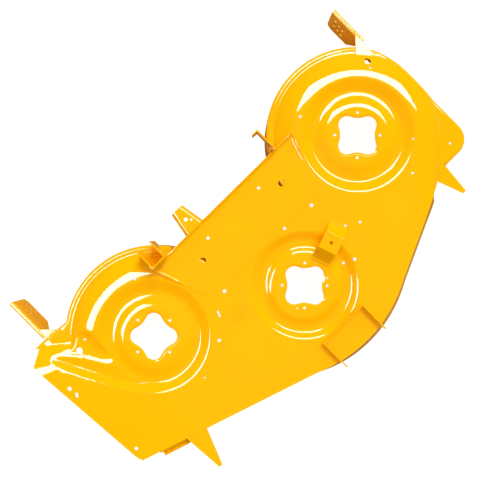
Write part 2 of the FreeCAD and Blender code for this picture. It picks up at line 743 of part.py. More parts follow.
def build_hook():
    """The upright strip with a turned end on the left rear corner."""
    body = new_body("hook_body")
    add_step(body, "Pad", "hook_web", "YZ_Plane", "hook_x", "hook_thick", draw_polygon,
             [("bridge_rear_y", "ledge_z - 20"), ("bridge_rear_y", "hook_top_z"),
              ("hook_end_y", "hook_top_z"), ("hook_end_y", "hook_low_z"),
              ("bridge_rear_y - 36", "hook_low_z"), ("bridge_rear_y - 18", "ledge_z - 20")])
    add_step(body, "Pad", "hook_end", "XZ_Plane", "- hook_end_y - hook_thick", "hook_thick",
             draw_polygon,
             [("hook_x", "hook_low_z"), ("hook_x + hook_bend", "hook_low_z"),
              ("hook_x + hook_bend", "hook_top_z"), ("hook_x", "hook_top_z")])
    return cut_of("hook_seated", body, outer_form, "rear_hook_bracket")


def build_taper():
    """The tapered arm behind the bridge plate, with its two down-turned sides."""
    body = new_body("taper_body")
    top = "main_z + bridge_lip/2"
    add_step(body, "Pad", "taper_block", "XY_Plane", top + " - taper_flange", "taper_flange",
             draw_polygon,
             [("taper_x - taper_base/2", "bridge_rear_y"), ("taper_x - taper_end/2", "taper_end_y"),
              ("taper_x + taper_end/2", "taper_end_y"), ("taper_x + taper_base/2", "bridge_rear_y")])
    add_step(body, "Pocket", "taper_hollow", "XY_Plane", top + " - taper_thick",
             "taper_flange", draw_polygon,
             [("taper_x - taper_base/2 + taper_thick", "bridge_rear_y + 1"),
              ("taper_x - taper_end/2 + taper_thick", "taper_end_y - 1"),
              ("taper_x + taper_end/2 - taper_thick", "taper_end_y - 1"),
              ("taper_x + taper_base/2 - taper_thick", "bridge_rear_y + 1")])
    add_step(body, "Pocket", "taper_holes", "XY_Plane", top + " + 1", "taper_thick + 2",
             draw_circles, [("taper_x", "taper_hole_y", "taper_hole_r"),
                            ("taper_small_x", "taper_small_y", "taper_small_r")])
    body.Label = "rear_taper_bracket"
    return body


def build_gauge(side, sign):
    """A wheel bracket: a hanging plate with height holes, an outer lip and a welded foot."""
    name = "gauge_" + side
    body = new_body(name + "_body")
    inner = "spindle_x + lobe_r - gauge_right_in" if sign == "+" else "- spindle_x - lobe_r + gauge_left_in"
    start = inner if sign == "+" else inner + " - gauge_thick"
    outer_edge = inner + " %s gauge_thick %s gauge_lip" % (sign, sign)
    top = "ledge_z + gauge_thick"
    root = "spindle_y - lobe_r + %s_lap" % name
    end = "%s - %s_length" % (root, name)
    add_step(body, "Pad", name + "_plate", "YZ_Plane", start, "gauge_thick", draw_polygon,
             [(root, top), (end, top), (end, top + " - gauge_depth + 12"),
              (end + " + 12", top + " - gauge_depth"), (root + " - 40", top + " - gauge_depth"),
              (root, top + " - 40")])
    add_step(body, "Pad", name + "_lip", "XY_Plane", "ledge_z", "gauge_thick", draw_polygon,
             [(inner, root), (inner, end + " + 6"), (outer_edge, end + " + 14"),
              (outer_edge, root)])
    reach = "- 54" if sign == "+" else "+ 54"
    half = "- 48" if sign == "+" else "+ 44"
    add_step(body, "Pad", name + "_foot", "XY_Plane", "ledge_z", "gauge_thick", draw_polygon,
             [(inner, root + " - 26"), (inner + " " + half, root + " + 22"),
              (inner + " " + reach, root + " + 70"), (inner, root + " + 42")])
    holes = []
    for column in range(3):
        for row in range(2):
            holes.append((end + " + %d" % (22 + 16 * column),
                          top + " - %d" % (30 + 34 * row + 8 * column), "gauge_hole_r"))
    plane_offset = start + " + gauge_thick + 1"
    add_step(body, "Pocket", name + "_holes", "YZ_Plane", plane_offset, "gauge_thick + 2",
             draw_circles, holes)
    return cut_of(name + "_seated", body, outer_form, "gauge_wheel_bracket_" + side)


def build_arm(side, top, inward):
    """A tapered flat arm that stands out under the front edge."""
    name = "arm_" + side
    body = new_body(name + "_body")
    outward = "+" if inward == "-" else "-"
    in_x, in_y, out_x, out_y = [name + end for end in ("_in_x", "_in_y", "_out_x", "_out_y")]
    tip_x, tip_y = name + "_tip_x", name + "_tip_y"
    add_step(body, "Pad", name + "_flat", "XY_Plane", top + " - arm_thick", "arm_thick",
             draw_polygon,
             [(out_x, out_y + " - arm_root"), (in_x, in_y + " - arm_root"), (in_x, in_y),
              (tip_x + " %s arm_tip/2" % inward, tip_y), (tip_x + " %s arm_tip/2" % outward, tip_y),
              (out_x, out_y)])
    clear = cut_of(name + "_clear", body, skirt_space)
    return cut_of(name + "_seated", clear, outer_form, "front_arm_" + side)


def build_corner():
    """The folded piece under the right front edge, seated on the skirt."""
    body = new_body("corner_body")
    add_step(body, "Pad", "corner_fold", "YZ_Plane", "- corner_length/2", "corner_length",
             draw_polygon,
             [("- 8", "corner_z - corner_thick"), ("corner_out", "corner_z - corner_thick"),
              ("corner_out", "corner_z"), ("corner_thick", "corner_z"),
              ("corner_thick", "corner_z + corner_high"), ("- 8", "corner_z + corner_high")])
    place_body(body, "corner_x", "corner_y", "0", "corner_turn")
    return cut_of("corner_seated", body, skirt_space, "front_corner_bracket")


shell_raw = cut_of("shell_raw", outer_form, hollow_form)
skirt_form = keep_form("skirt_form", skirt_solid(size("sheet")))
skirt_space = keep_form("skirt_space", skirt_solid(200))
baffle_form = keep_form("baffle_form", baffle_solid())
under_sheet = "main_z - sheet"
NODES = [
    cut_of("shell_cut", shell_raw, shell_holes(), "deck_shell"),
    common_of("skirt_trimmed", skirt_form, hollow_form, "front_skirt"),
    common_of("baffle_trimmed", baffle_form, hollow_form, "front_baffle"),
    build_bridge(), build_lift(), build_hat(), build_tab(), build_channel(), build_hook(),
    build_taper(), build_gauge("right", "+"), build_gauge("left", "-"),
    build_arm("right", under_sheet, "-"), build_arm("left", "ledge_z - sheet", "+"),
    build_corner(),
]

doc.recompute()
for item in doc.Objects:
    if "Invalid" in item.State or "Error" in item.State:
        raise SystemExit("failed: " + item.Name)
for node in NODES:
    if node.Shape.isNull() or not node.Shape.isValid() or node.Shape.Volume < 1:
        raise SystemExit("bad shape: " + node.Label)

os.makedirs("parts", exist_ok=True)
for node in NODES:
    node.Shape.exportStep("parts/%s.step" % node.Label)
    print(node.Label, len(node.Shape.Solids), round(node.Shape.Volume / 1000, 1))
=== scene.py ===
import json
import math

import bmesh
import bpy
import numpy as np
from mathutils import Matrix, Vector
from mathutils.geometry import delaunay_2d_cdt


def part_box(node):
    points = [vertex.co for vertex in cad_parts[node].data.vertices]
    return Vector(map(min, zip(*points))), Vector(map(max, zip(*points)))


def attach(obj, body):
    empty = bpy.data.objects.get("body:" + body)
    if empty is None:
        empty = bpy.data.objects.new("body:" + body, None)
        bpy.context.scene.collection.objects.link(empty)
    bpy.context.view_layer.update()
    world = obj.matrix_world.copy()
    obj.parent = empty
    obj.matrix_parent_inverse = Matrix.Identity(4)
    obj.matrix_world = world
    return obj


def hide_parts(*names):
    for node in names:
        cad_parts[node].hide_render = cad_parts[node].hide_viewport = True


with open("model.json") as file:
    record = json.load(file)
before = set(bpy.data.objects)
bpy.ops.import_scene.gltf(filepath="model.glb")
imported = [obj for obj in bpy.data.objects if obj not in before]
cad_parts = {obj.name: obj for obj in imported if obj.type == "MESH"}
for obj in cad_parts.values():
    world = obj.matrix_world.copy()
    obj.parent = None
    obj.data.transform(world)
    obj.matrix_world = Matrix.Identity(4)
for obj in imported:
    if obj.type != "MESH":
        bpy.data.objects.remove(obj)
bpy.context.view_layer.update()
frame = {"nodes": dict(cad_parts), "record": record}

# Lengths below are millimetres in the deck's frame, and MM turns them into metres.
MM = 0.001
SHEET = 2.7
SHELL_LOW, SHELL_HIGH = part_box("deck_shell")
RIM_Z = SHELL_LOW.z / MM
MAIN_Z = SHELL_HIGH.z / MM
MOUNTS = {mount["name"]: mount for mount in frame["record"]["mounts"]}
SPINDLES = {side: np.array(MOUNTS[side + "_spindle_bolts"]["pos_m"][:2]) / MM
            for side in ("left", "centre", "right")}
BOLT_CIRCLE_R = MOUNTS["centre_spindle_bolts"]["dims"]["pcd_mm"] / 2
BOLT_R = MOUNTS["centre_spindle_bolts"]["dims"]["hole_r_mm"]

# The plan's corners, from the rear end of the discharge edge, round the front, to the left flank.
DISCHARGE_REAR_X, REAR_Y = 693, -421
DISCHARGE_OUT, DISCHARGE_FRONT = (728, -383), (696, 12)
FRONT_TURN, FRONT_TURN_R, FRONT_TURN_ANGLE, FRONT_RIGHT = (674, 13), 21, 75, (679, 34)
NOSE_RIGHT, NOSE, NOSE_LEFT = (148, 206), (-30, 239), (-217, 187)
SHOULDER_LEFT, PANEL_START = (-493, 58), (-545, 44)
PANEL_X, PANEL_Y, PANEL_CORNER_R, SIDE_LOW_Y = -655, 44, 55, -258
FLANK_BULGE = (16, 18)
LEFT_LOBE_START, RIGHT_LOBE_END, REAR_FLANGE_X = -125, -53, 652

# The stamped relief, as radii about a spindle, heights and directions in degrees.
SEAT_R, GROOVE_IN_R, GROOVE_OUT_R, RISE_R = 80, 125, 132, 168
CENTRE_SEAT_R, CENTRE_GROOVE_IN_R, CENTRE_RISE_R = 90, 118, 160
GROOVE_Z, LEDGE_Z = -10, -22
LEDGE_R, LOBE_R, NOTCH_R, SHOULDER_R = 244, 265, 240, 9
FLANGE_Z = -32
LEDGE_LIP, LEDGE_LIP_RISE = 16, 1.6
RING_ROWS = list(np.arange(72, 238, 4.6)) + [239.8, 242, 243.4, 244.4, 245.4, 247.5, 250.5]
LEFT_CROWN, RIGHT_CROWN, CROWN_FADE = (140, 345), (195, 335), 18
PANEL_RUN_START, PANEL_RUN_LENGTH, PANEL_RUN_FALL = 60, 110, 10
OPENING_LOBE_R, OPENING_LOBE_AT, OPENING_WAIST_R = 25.0, 43.0, 50.0
OPENING_LIP_W, OPENING_LIP_SLOPE, OPENING_REACH = 6.4, 0.4, 80

# The chute: its outer line and ridge, where its fall widens, and its mouth beside the right ring.
CHUTE_LINE = [(459, -53), (485, -66), (512, -80), (540, -100), (565, -122), (591, -154), (611, -184),
              (630, -216), (651, -250), (671, -285), (698, -341), (735, -397)]
CHUTE_RIDGE = [(548, -226), (564, -236), (578, -250), (592, -272), (612, -304), (635, -335),
               (668, -372)]
CHUTE_FALL_W, CHUTE_WIDER, CHUTE_WIDER_X, CHUTE_WIDER_RUN = 24, 0.7, 540, 160
CHUTE_FROM, CHUTE_TO = -25, 76
RIDGE_H, RIDGE_FRONT_W, RIDGE_REAR_W, RIDGE_STEP = 4.5, 13, 22, 1
MOUTH_X, MOUTH_Y, MOUTH_LEAN, MOUTH_BLEND, MOUTH_START = 531, -257, 0.2, 44, 0.4


def smooth(t):
    """A smooth step from 0 to 1 as t goes from 0 to 1."""
    t = np.clip(t, 0, 1)
    return t * t * (3 - 2 * t)


def flowing(points, count=7):
    """A smooth line through the given points, as a run of closer points."""
    ends = [points[0]] + list(points) + [points[-1]]
    out = []

    def between(p, q, r, s, t):
        square = 2 * p - 5 * q + 4 * r - s
        cube = 3 * (q - r) + s - p
        return q + 0.5 * t * (r - p + t * (square + t * cube))

    for a, b, c, d in zip(ends, ends[1:], ends[2:], ends[3:]):
        for t in np.arange(count) / count:
            out.append(tuple(between(*poles, t) for poles in zip(a, b, c, d)))
    return out + [tuple(points[-1])]


def polar(centre, radius, degrees):
    turn = math.radians(degrees)
    return (centre[0] + radius * math.cos(turn), centre[1] + radius * math.sin(turn))


def angle_from(x, y, centre, start):
    """The direction of each point from a centre, in degrees from start to start + 360."""
    degrees = np.degrees(np.arctan2(y - centre[1], x - centre[0]))
    return (degrees - start) % 360 + start


def distance_to_run(x, y, points):
    """The distance to a run of points, and which side of it each point is on (1 is right)."""
    best = np.full(np.shape(x), 1e9)
    side = np.zeros(np.shape(x))
    for (ax, ay), (bx, by) in zip(points, points[1:]):
        length = math.hypot(bx - ax, by - ay)
        if length < 1e-6:
            continue
        ux, uy = (bx - ax) / length, (by - ay) / length
        t = np.clip((x - ax) * ux + (y - ay) * uy, 0, length)
        far = np.hypot(x - ax - t * ux, y - ay - t * uy)
        right = np.sign((x - ax) * uy - (y - ay) * ux)
        closer = far < best
        best = np.where(closer, far, best)
        side = np.where(closer, right, side)
    return best, side


def curve(poles):
    """Points of a profile curve with four poles, as a row of radii and a row of heights."""
    t = np.linspace(0, 1, 41)
    shares = [(1 - t) ** 3, 3 * t * (1 - t) ** 2, 3 * t * t * (1 - t), t ** 3]
    return [sum(share * pole[k] for share, pole in zip(shares, poles)) for k in (0, 1)]


def bend(start, end, lead_in, lead_out):
    """A curve that leaves and arrives level; the leads are shares of its width."""
    width = end[0] - start[0]
    return curve([start, (start[0] + width * lead_in, start[1]), (end[0] - width * lead_out, end[1]), end])


def ramp(start, end, turn_in, turn_out):
    """An even slope between two level stretches, with a short bend of stated width at each end."""
    (low_r, low_z), (high_r, high_z) = start, end
    r = np.linspace(low_r, high_r, 61)
    slope = smooth((r - low_r) / turn_in) * smooth((high_r - r) / turn_out)
    rise = np.concatenate([[0], np.cumsum((slope[1:] + slope[:-1]) / 2)])
    return [r, low_z + (high_z - low_z) * rise / rise[-1]]


def ring_profile(seat, groove_in, rise):
    """A spindle seat, the groove round it and the rise to the main plane."""
    fall = bend((seat, 0), (groove_in, GROOVE_Z), 0.45, 0.35)
    back = ramp((GROOVE_OUT_R, GROOVE_Z), (rise, MAIN_Z), 5, 6)
    return np.concatenate([fall[0], back[0]]), np.concatenate([fall[1], back[1]])


RINGS = {"left": ring_profile(SEAT_R, GROOVE_IN_R, RISE_R),
         "centre": ring_profile(CENTRE_SEAT_R, CENTRE_GROOVE_IN_R, CENTRE_RISE_R),
         "right": ring_profile(SEAT_R, GROOVE_IN_R, RISE_R)}
CROWN_W = LEDGE_R - RISE_R
CROWN = curve([(RISE_R, MAIN_Z), (RISE_R + CROWN_W * 0.45, MAIN_Z),
               (LEDGE_R - CROWN_W * 0.17, LEDGE_Z + CROWN_W * 0.19), (LEDGE_R, LEDGE_Z)])
CROWN = [np.append(CROWN[0], LEDGE_R + LEDGE_LIP), np.append(CROWN[1], LEDGE_Z + LEDGE_LIP_RISE)]
CHUTE_FALL = bend((0, MAIN_Z), (CHUTE_FALL_W, GROOVE_Z), 0.5, 0.2)
CHUTE_RUN = flowing(CHUTE_LINE)
RIDGE_RUN = flowing(CHUTE_RIDGE)


def left_crown(x, y):
    """The left crown's height: an arc round its spindle, then a run to the front."""
    centre = SPINDLES["left"]
    r = np.hypot(x - centre[0], y - centre[1])
    around = angle_from(x, y, centre, LEFT_CROWN[0])
    normal = polar((0, 0), 1, LEFT_CROWN[0])
    run = (x - centre[0]) * normal[0] + (y - centre[1]) * normal[1]
    along = (x - centre[0]) * normal[1] - (y - centre[1]) * normal[0]
    run = run + PANEL_RUN_FALL * smooth((along - PANEL_RUN_START) / PANEL_RUN_LENGTH)
    d = np.where(around <= LEFT_CROWN[1], r, run)
    return np.where(x < 0, np.interp(d, *CROWN), MAIN_Z)


def right_crown(x, y):
    """The right crown's height: an arc round its spindle that fades out towards the chute."""
    centre = SPINDLES["right"]
    r = np.hypot(x - centre[0], y - centre[1])
    around = angle_from(x, y, centre, RIGHT_CROWN[0])
    held = smooth((RIGHT_CROWN[1] - around) / CROWN_FADE)
    fall = MAIN_Z + (np.interp(r, *CROWN) - MAIN_Z) * held
    return np.where(x > 0, fall, MAIN_Z)


def chute(x, y):
    """The channel that unwinds from the right groove to the discharge edge, and its low ridge."""
    far, side = distance_to_run(x, y, CHUTE_RUN)
    wider = 1 + CHUTE_WIDER * smooth((x - CHUTE_WIDER_X) / CHUTE_WIDER_RUN)
    fall = np.interp(far * side / wider, *CHUTE_FALL)
    centre = SPINDLES["right"]
    r = np.hypot(x - centre[0], y - centre[1])
    around = angle_from(x, y, centre, -90)
    ridge, hand = distance_to_run(x, y, RIDGE_RUN)
    aside = smooth(ridge / np.where(hand > 0, RIDGE_FRONT_W, RIDGE_REAR_W))
    low = fall + RIDGE_H * (1 - aside) + np.where(hand > 0, 0, RIDGE_STEP) * aside
    fall = np.where((r > GROOVE_OUT_R) & (fall < MAIN_Z - 1), np.minimum(low, MAIN_Z), fall)
    into = np.where(around > CHUTE_FROM, MOUTH_BLEND, x - MOUTH_X - (MOUTH_Y - y) * MOUTH_LEAN)
    opened = smooth(into / MOUTH_BLEND + MOUTH_START) * (r > GROOVE_IN_R + 2) * (around < CHUTE_TO)
    return MAIN_Z + (fall - MAIN_Z) * opened


PLATE_LOW, PLATE_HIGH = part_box("rear_bridge_plate")
PLATE_REAR_X = PLATE_HIGH.x / MM
PLATE_FRONT_X = 218
PLATE_REAR_Y, PLATE_FRONT_Y = PLATE_LOW.y / MM, PLATE_HIGH.y / MM
PLATE_SEAT_INSET, PLATE_SEAT_BLEND = 9, 5


def under_plate(x, y):
    """1 where the sheet stays up to carry the rear plate, and 0 outside."""
    slope = (PLATE_REAR_X - PLATE_FRONT_X) / (PLATE_FRONT_Y - PLATE_REAR_Y)
    half = np.maximum(PLATE_REAR_X - (y - PLATE_REAR_Y) * slope, PLATE_FRONT_X)
    inside = np.minimum(half - np.abs(x), y - PLATE_REAR_Y) - PLATE_SEAT_INSET
    return np.where(y < 0, smooth(inside / PLATE_SEAT_BLEND + 0.5), 0)


def height(x, y):
    """The top of the stamped sheet at each point of the plan."""
    lowered = np.minimum(left_crown(x, y), right_crown(x, y))
    z = MAIN_Z + (lowered - MAIN_Z) * (1 - under_plate(x, y))
    z = np.minimum(z, chute(x, y))
    for side, centre in SPINDLES.items():
        r = np.hypot(x - centre[0], y - centre[1])
        z = np.where(r < RINGS[side][0][-1], np.minimum(z, np.interp(r, *RINGS[side])), z)
    for loop in OPENINGS:
        middle = np.mean(loop, 0)
        near = np.hypot(x - middle[0], y - middle[1]) < OPENING_REACH
        far = np.full(np.shape(x), float(OPENING_REACH))
        far[near] = distance_to_run(x[near], y[near], loop + loop[:1])[0]
        z = z - OPENING_LIP_SLOPE * np.maximum(OPENING_LIP_W - far, 0)
    return z


def run_of(points, step=8.0):
    """Points along straight runs, about step apart, without the last one."""
    out = []
    for (ax, ay), (bx, by) in zip(points, points[1:]):
        count = max(1, round(math.hypot(bx - ax, by - ay) / step))
        for k in range(count):
            t = k / count
            out.append((ax + (bx - ax) * t, ay + (by - ay) * t))
    return out


def evenly(start, end, count):
    """Points along a straight line, without the last one."""
    return [(start[0] + (end[0] - start[0]) * k / count, start[1] + (end[1] - start[1]) * k / count)
            for k in range(count)]


def arc_of(centre, radius, start, end, count):
    """Points along an arc, without the last one."""
    return [polar(centre, radius, start + (end - start) * k / count) for k in range(count)]


def circle_through(a, b, c):
    """The centre and radius of the circle through three points."""
    ax, ay, bx, by, cx, cy = *a, *b, *c
    d = 2 * (ax * (by - cy) + bx * (cy - ay) + cx * (ay - by))
    aa, bb, cc = ax * ax + ay * ay, bx * bx + by * by, cx * cx + cy * cy
    x = (aa * (by - cy) + bb * (cy - ay) + cc * (ay - by)) / d
    y = (aa * (cx - bx) + bb * (ax - cx) + cc * (bx - ax)) / d
    return (x, y), math.hypot(ax - x, ay - y)


def arc_through(a, b, c, count):
    """Points along the arc from a through b to c, without the last one."""
    centre, radius = circle_through(a, b, c)
    start = math.degrees(math.atan2(a[1] - centre[1], a[0] - centre[0]))
    end = math.degrees(math.atan2(c[1] - centre[1], c[0] - centre[0]))
    middle = math.degrees(math.atan2(b[1] - centre[1], b[0] - centre[0]))
    end = start + (end - start) % 360
    if (middle - start) % 360 > (end - start):
        end -= 360
    return arc_of(centre, radius, start, end, count)


def crossing(centre_a, radius_a, centre_b, radius_b):
    """Where two circles cross, on the rear side."""
    ax, ay = centre_a
    dx, dy = centre_b[0] - ax, centre_b[1] - ay
    apart = math.hypot(dx, dy)
    along = (apart ** 2 + radius_a ** 2 - radius_b ** 2) / (2 * apart)
    off = math.sqrt(radius_a ** 2 - along ** 2)
    ux, uy = dx / apart, dy / apart
    both = [(ax + ux * along - uy * s * off, ay + uy * along + ux * s * off) for s in (1, -1)]
    return min(both, key=lambda p: p[1])


OPEN, WALL, FLANGE = 0, 1, 2


def outline(inset):
    """The plan outline, counter-clockwise, with the walled stretches moved in by inset.

    Each stretch has the same number of points for every inset, and a kind: an open
    edge, a wall down to the rim or a short flange.
    """
    left, right, centre = SPINDLES["left"], SPINDLES["right"], SPINDLES["centre"]
    lobe, notch = LOBE_R - inset, NOTCH_R - inset
    meet_left = crossing(left, lobe, centre, notch)
    meet_right = crossing(right, lobe, centre, notch)

    def at(c, p):
        return math.degrees(math.atan2(p[1] - c[1], p[0] - c[0]))

    rear = REAR_Y + inset
    rear_corner = (DISCHARGE_REAR_X - inset, rear)
    lobe_start = polar(left, lobe, LEFT_LOBE_START)
    lobe_end = polar(right, lobe, RIGHT_LOBE_END)
    panel_x, panel_y = PANEL_X + inset, PANEL_Y - inset
    radius = PANEL_CORNER_R - inset
    turn = (panel_x + radius, panel_y - radius)
    side_low = (panel_x, SIDE_LOW_Y)
    flank = ((panel_x + lobe_start[0]) / 2 - FLANK_BULGE[0],
             (SIDE_LOW_Y + lobe_start[1]) / 2 - FLANK_BULGE[1])
    front = run_of([rear_corner, DISCHARGE_OUT, DISCHARGE_FRONT], 9)
    front += arc_of(FRONT_TURN, FRONT_TURN_R, 0, FRONT_TURN_ANGLE, 6)
    front += run_of([FRONT_RIGHT, NOSE_RIGHT], 9)
    front += arc_through(NOSE_RIGHT, NOSE, NOSE_LEFT, 42)
    front += run_of([NOSE_LEFT, SHOULDER_LEFT, PANEL_START], 9)
    wall = evenly((PANEL_START[0], panel_y), (turn[0], panel_y), 6)
    wall += arc_of(turn, radius, 90, 180, 12)
    wall += evenly((panel_x, turn[1]), side_low, 26)
    wall += arc_through(side_low, flank, lobe_start, 26)
    wall += arc_of(left, lobe, LEFT_LOBE_START, at(left, meet_left), 46)
    wall += arc_of(centre, notch, at(centre, meet_left), at(centre, meet_right), 42)
    wall += arc_of(right, lobe, at(right, meet_right) - 360, RIGHT_LOBE_END, 46)
    flange = evenly(lobe_end, (REAR_FLANGE_X, rear), 9)
    flange += evenly((REAR_FLANGE_X, rear), rear_corner, 5)
    kinds = [OPEN] * len(front) + [WALL] * len(wall) + [FLANGE] * len(flange)
    return front + wall + flange, kinds


def opening_loop(centre, turn):
    """The four-lobed hole in a spindle seat, clockwise: lobes joined by tangent hollow arcs."""
    lobe, far, waist = OPENING_LOBE_R, OPENING_LOBE_AT, OPENING_WAIST_R
    root = math.sqrt(2)
    hollow = (lobe ** 2 - waist ** 2 + waist * root * far - far ** 2) / (2 * waist - root * far - 2 * lobe)
    points = []
    for number in range(4):
        base = turn + 90 * number
        here = np.array(polar(centre, far, base))
        ahead = np.array(polar(centre, waist + hollow, base + 45))
        behind = np.array(polar(centre, waist + hollow, base - 45))
        following = np.array(polar(centre, far, base + 90))
        touch_a = here + (ahead - here) / np.linalg.norm(ahead - here) * lobe
        touch_b = here + (behind - here) / np.linalg.norm(behind - here) * lobe
        touch_n = following + (ahead - following) / np.linalg.norm(ahead - following) * lobe
        points += arc_through(tuple(touch_b), polar(centre, far + lobe, base), tuple(touch_a), 14)
        points += arc_through(tuple(touch_a), polar(centre, waist, base + 45), tuple(touch_n), 12)
    return points


ROUND_HOLES = [
    (-243, -19, 4), (-205, -41, 4), (-156, 47, 5.5), (-127, 34, 4), (288, -61, 5), (394, -14, 3),
    (-522, -83, 3), (-451, -13, 4), (-596, -162, 3.5), (-599, 6, 4), (-385, -386, 4),
    (-334, -358, 4.5), (-589, -336, 10), (-580, -316, 4), (603, -325, 10), (602, -303, 4),
    (389, -387, 4), (441, -392, 4), (568, -338, 4), (679, -7, 5.5),
    (-177, -152, 5.5), (177, -152, 5.5), (-74, -159, 4.7), (-62, 32, 2.5), (62, 32, 2.5),
]
SLOTS = [(336, -363, 12, 12, 35), (695, -266, 11, 11, 5), (693, -238, 14, 9, 60),
         (235, -117, 20, 5, 70)]
OPENINGS = [opening_loop(SPINDLES["left"], 0), opening_loop(SPINDLES["centre"], 0),
            opening_loop(SPINDLES["right"], 45)]


def hole_loops():
    """The outline of every hole in the stamped sheet."""
    loops = list(OPENINGS)
    for name, start in (("left", 45), ("centre", 45), ("right", 0)):
        for number in range(4):
            spot = polar(SPINDLES[name], BOLT_CIRCLE_R, start + 90 * number)
            loops.append(arc_of(spot, BOLT_R, 0, 360, 20))
    for x, y, radius in ROUND_HOLES:
        loops.append(arc_of((x, y), radius, 0, 360, 28 if radius > 8 else 18))
    for x, y, length, width, degrees in SLOTS:
        ends = [(-length / 2, -width / 2), (length / 2, -width / 2), (length / 2, width / 2),
                (-length / 2, width / 2)]
        c, s = math.cos(math.radians(degrees)), math.sin(math.radians(degrees))
        loops.append([(x + u * c - v * s, y + u * s + v * c) for u, v in ends])
    return loops


def inside_loop(x, y, loop):
    """Whether each point is inside a closed loop."""
    inside = np.zeros(np.shape(x), bool)
    for (ax, ay), (bx, by) in zip(loop, loop[1:] + loop[:1]):
        if ay == by:
            continue
        spans = (ay > y) != (by > y)
        inside ^= spans & (x < (bx - ax) * (y - ay) / (by - ay) + ax)
    return inside


def ring_outside(loop, far):
    """The points of a clockwise or counter-clockwise loop moved out of it by far."""
    ring = np.array(loop)
    along = np.roll(ring, -1, 0) - np.roll(ring, 1, 0)
    out = np.stack([along[:, 1], -along[:, 0]], 1) / np.hypot(*along.T)[:, None]
    if (out * (ring - ring.mean(0))).sum() < 0:
        out = -out
    return ring + out * far


# How far apart the mesh's points are, and how far they keep from the holes.
GRID_STEP, RING_STEP = 9.0, 7.5
OPENING_CLEAR, HOLE_CLEAR = 9.5, 2.6
OPENING_ROWS = (3.2, 5.6, 6.4, 7.4)


def inner_points(edge, holes):
    """Grid points of the plan: rings round each spindle, and an even grid elsewhere."""
    found = []
    centres = list(SPINDLES.values())
    for number, centre in enumerate(centres):
        for ring, r in enumerate(RING_ROWS):
            count = int(2 * math.pi * r / RING_STEP)
            turns = (np.arange(count) + 0.5 * (ring % 2)) * 2 * math.pi / count
            x, y = centre[0] + r * np.cos(turns), centre[1] + r * np.sin(turns)
            mine = np.ones(count, bool)
            for other, at in enumerate(centres):
                if other != number:
                    mine &= np.hypot(x - at[0], y - at[1]) > r + 2
            found.append(np.stack([x[mine], y[mine]], 1))
    step = GRID_STEP
    xs, ys = np.meshgrid(np.arange(-660, 745, step), np.arange(-480, 250, step * 0.866))
    xs = xs + (np.arange(xs.shape[0]) % 2)[:, None] * step / 2
    x, y = xs.ravel(), ys.ravel()
    away = np.min([np.hypot(x - c[0], y - c[1]) for c in centres], axis=0) > RING_ROWS[-1] + 1.5
    found.append(np.stack([x[away], y[away]], 1))
    points = np.concatenate(found)
    x, y = points[:, 0], points[:, 1]
    keep = inside_loop(x, y, edge)
    for loop in [edge] + holes:
        far, _ = distance_to_run(x, y, loop + loop[:1])
        keep &= far > (OPENING_CLEAR if loop in OPENINGS else HOLE_CLEAR)
    for loop in holes:
        keep &= ~inside_loop(x, y, loop)
    rings = [ring_outside(loop, far) for loop in OPENINGS for far in OPENING_ROWS]
    inner, kinds = outline(SHOULDER_R + 1.2)
    rings.append(np.array([p for p, kind in zip(inner, kinds) if kind == WALL]))
    return np.concatenate([points[keep]] + rings)


def shell_mesh():
    """The stamped sheet's outer face: the relief, the rounded shoulder and the walls."""
    turns = [math.radians(a) for a in (18, 36, 54, 72, 90)]
    shoulder = [(SHOULDER_R * (1 - math.sin(a)), SHOULDER_R * (1 - math.cos(a))) for a in turns]
    edge, kinds = outline(SHOULDER_R)
    holes = hole_loops()
    grid = inner_points(edge, holes)
    coords = [Vector(p) for p in edge]
    constraints = [(k, (k + 1) % len(edge)) for k in range(len(edge))]
    for loop in holes:
        base = len(coords)
        coords += [Vector(p) for p in loop]
        constraints += [(base + k, base + (k + 1) % len(loop)) for k in range(len(loop))]
    coords += [Vector(p) for p in grid]
    verts, _, faces, origins, _, _ = delaunay_2d_cdt(coords, constraints, [], 0, 1e-6, True)
    flat = np.array([(v.x, v.y) for v in verts])
    tris = np.array(faces)
    mid = flat[tris].mean(axis=1)
    keep = inside_loop(mid[:, 0], mid[:, 1], edge)
    for loop in holes:
        box = np.array(loop)
        near = ((mid > box.min(0)) & (mid < box.max(0))).all(1)
        inside = np.zeros(len(mid), bool)
        inside[near] = inside_loop(mid[near, 0], mid[near, 1], loop)
        keep &= ~inside
    tris = tris[keep]
    z = height(flat[:, 0], flat[:, 1])
    points = np.column_stack([flat, z])
    index_of = {}
    for out, source in enumerate(origins):
        for k in source:
            index_of[k] = out
    points = [tuple(p) for p in points]
    polygons = [tuple(int(v) for v in t) for t in tris]
    count = len(edge)
    edge_z = height(np.array(edge)[:, 0], np.array(edge)[:, 1])
    rows = [[index_of[k] for k in range(count)]]
    for inset, drop in shoulder:
        loop, _ = outline(inset)
        rows.append(list(range(len(points), len(points) + count)))
        points += [(x, y, edge_z[k] - drop) for k, (x, y) in enumerate(loop)]
    loop, _ = outline(0)
    for part in (0.3, 0.65, 1.0):
        rows.append(list(range(len(points), len(points) + count)))
        for k, (x, y) in enumerate(loop):
            start = edge_z[k] - SHOULDER_R
            end = FLANGE_Z if kinds[k] == FLANGE else RIM_Z
            points.append((x, y, start + (min(end, start - 0.5) - start) * part))
    for upper, lower in zip(rows, rows[1:]):
        for k in range(count):
            after = (k + 1) % count
            if kinds[k] != OPEN:
                polygons.append((upper[k], lower[k], lower[after], upper[after]))
    return points, polygons


